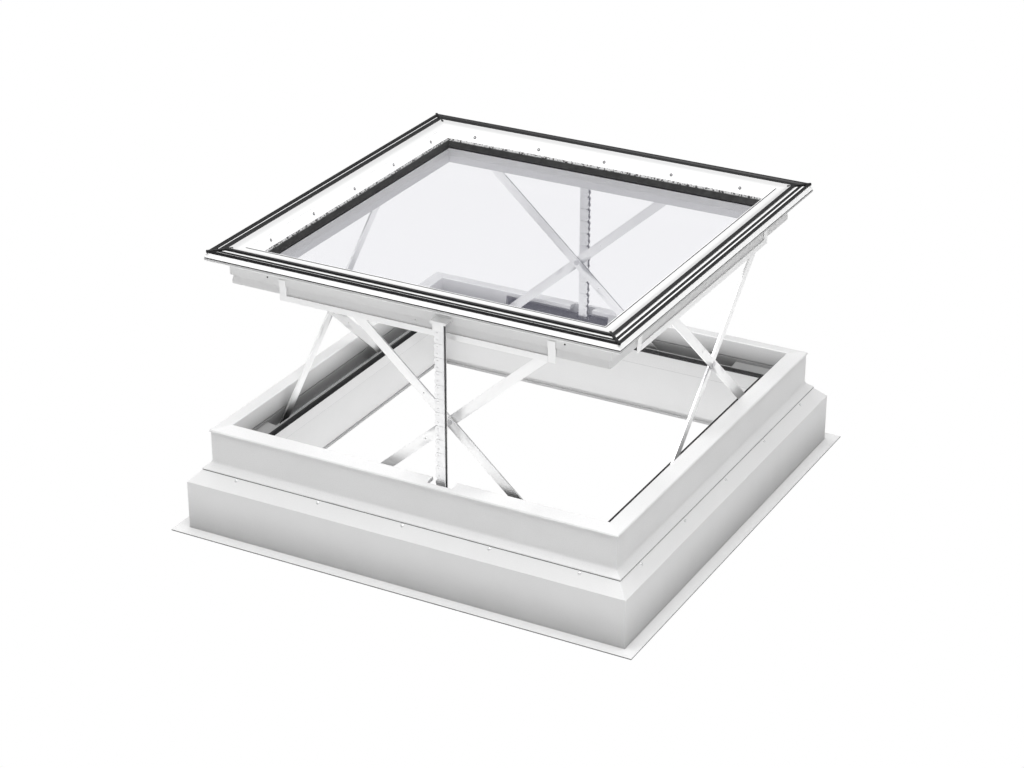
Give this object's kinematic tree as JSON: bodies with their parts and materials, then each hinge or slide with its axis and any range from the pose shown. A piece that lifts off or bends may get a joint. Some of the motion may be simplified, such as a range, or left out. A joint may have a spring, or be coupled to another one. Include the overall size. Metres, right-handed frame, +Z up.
{
  "type": "roof skylight",
  "caption": "Square flat-roof skylight on an insulated kerb, its glazed sash raised level on scissor arms by push chains for venting and smoke release.",
  "frame": {"origin": "centre of the kerb's underside, on the roof deck", "axes": "+Z up out of the roof; X and Y along the sides, the push chains on the -Y and +Y sides"},
  "size_m": [1.48, 1.48, 0.861],
  "materials": {
    "kerb_pvc": "fine-grained light grey plastic",
    "white_pvc": "smooth white window profile",
    "black_rubber": "matt black seal",
    "arm_steel": "bright zinc-plated flat bar",
    "rail_metal": "satin light metal",
    "pin_steel": "turned and plated",
    "chain_steel": "nickel-plated link plates",
    "drive_housing": "black moulded housing",
    "screw_steel": "bright pan-head screws",
    "spacer_metal": "satin grey edge spacer",
    "clear_glass": "clear float glass"
  },
  "bodies": {
    "frame": {"kerb_front": "kerb_pvc", "kerb_right": "kerb_pvc", "kerb_back": "kerb_pvc", "kerb_left": "kerb_pvc", "frame_front": "white_pvc", "frame_right": "white_pvc", "frame_back": "white_pvc", "frame_left": "white_pvc", "frame_gasket": "black_rubber", "frame_screws": "screw_steel", "lower_rail_front": "rail_metal", "lower_rail_right": "rail_metal", "lower_rail_back": "rail_metal", "lower_rail_left": "rail_metal", "lower_pivot_pins": "pin_steel", "chain_drive_front": "drive_housing", "chain_drive_back": "drive_housing", "push_chain_front": "chain_steel", "push_chain_back": "chain_steel"},
    "sash": {"sash_front": "white_pvc", "sash_right": "white_pvc", "sash_back": "white_pvc", "sash_left": "white_pvc", "outer_seal": "black_rubber", "inner_seal": "black_rubber", "glazing_gasket": "black_rubber", "glass_outer_pane": "clear_glass", "glass_inner_pane": "clear_glass", "glass_spacer": "spacer_metal", "glazing_bead_front": "white_pvc", "glazing_bead_right": "white_pvc", "glazing_bead_back": "white_pvc", "glazing_bead_left": "white_pvc", "bead_screws": "screw_steel", "upper_rail_front": "rail_metal", "upper_rail_right": "rail_metal", "upper_rail_back": "rail_metal", "upper_rail_left": "rail_metal", "rail_brackets": "rail_metal", "upper_pivot_pins": "pin_steel", "chain_bracket_front": "rail_metal", "chain_bracket_back": "rail_metal"},
    "front_outer_arm": {"front_outer_arm": "arm_steel", "front_outer_arm_studs": "pin_steel"},
    "front_inner_arm": {"front_inner_arm": "arm_steel", "front_inner_arm_stud": "pin_steel"},
    "right_outer_arm": {"right_outer_arm": "arm_steel", "right_outer_arm_studs": "pin_steel"},
    "right_inner_arm": {"right_inner_arm": "arm_steel", "right_inner_arm_stud": "pin_steel"},
    "back_outer_arm": {"back_outer_arm": "arm_steel", "back_outer_arm_studs": "pin_steel"},
    "back_inner_arm": {"back_inner_arm": "arm_steel", "back_inner_arm_stud": "pin_steel"},
    "left_outer_arm": {"left_outer_arm": "arm_steel", "left_outer_arm_studs": "pin_steel"},
    "left_inner_arm": {"left_inner_arm": "arm_steel", "left_inner_arm_stud": "pin_steel"}
  },
  "joints": [
    {"name": "front_lower_pivot", "type": "hinge", "parent": "frame", "child": "front_outer_arm", "pos_m": [0.39674, -0.5775, 0.216], "axis": [0, -1, 0], "range_deg": [0, 39.68], "deforming": ["push_chain_front", "push_chain_back"]},
    {"name": "front_crossing", "type": "hinge", "parent": "front_outer_arm", "child": "front_inner_arm", "pos_m": [0.10068, -0.572, 0.4805], "axis": [0, -1, 0], "range_deg": [-79.36, 0]},
    {"name": "right_lower_pivot", "type": "hinge", "parent": "frame", "child": "right_outer_arm", "pos_m": [0.5775, 0.39674, 0.216], "axis": [1, 0, 0], "range_deg": [0, 39.68]},
    {"name": "right_crossing", "type": "hinge", "parent": "right_outer_arm", "child": "right_inner_arm", "pos_m": [0.572, 0.10068, 0.4805], "axis": [1, 0, 0], "range_deg": [-79.36, 0]},
    {"name": "back_lower_pivot", "type": "hinge", "parent": "frame", "child": "back_outer_arm", "pos_m": [-0.39674, 0.5775, 0.216], "axis": [0, 1, 0], "range_deg": [0, 39.68]},
    {"name": "back_crossing", "type": "hinge", "parent": "back_outer_arm", "child": "back_inner_arm", "pos_m": [-0.10068, 0.572, 0.4805], "axis": [0, 1, 0], "range_deg": [-79.36, 0]},
    {"name": "left_lower_pivot", "type": "hinge", "parent": "frame", "child": "left_outer_arm", "pos_m": [-0.5775, -0.39674, 0.216], "axis": [-1, 0, 0], "range_deg": [0, 39.68]},
    {"name": "left_crossing", "type": "hinge", "parent": "left_outer_arm", "child": "left_inner_arm", "pos_m": [-0.572, -0.10068, 0.4805], "axis": [-1, 0, 0], "range_deg": [-79.36, 0]},
    {"name": "front_upper_pivot", "type": "hinge", "parent": "front_inner_arm", "child": "sash", "pos_m": [0.39674, -0.572, 0.745], "axis": [0, -1, 0], "range_deg": [0, 39.68]}
  ],
  "couplings": [
    {"joint": "front_crossing", "follows": "front_lower_pivot", "ratio": -2},
    {"joint": "right_lower_pivot", "follows": "front_lower_pivot", "ratio": 1},
    {"joint": "right_crossing", "follows": "front_lower_pivot", "ratio": -2},
    {"joint": "back_lower_pivot", "follows": "front_lower_pivot", "ratio": 1},
    {"joint": "back_crossing", "follows": "front_lower_pivot", "ratio": -2},
    {"joint": "left_lower_pivot", "follows": "front_lower_pivot", "ratio": 1},
    {"joint": "left_crossing", "follows": "front_lower_pivot", "ratio": -2},
    {"joint": "front_upper_pivot", "follows": "front_lower_pivot", "ratio": 1}
  ]
}
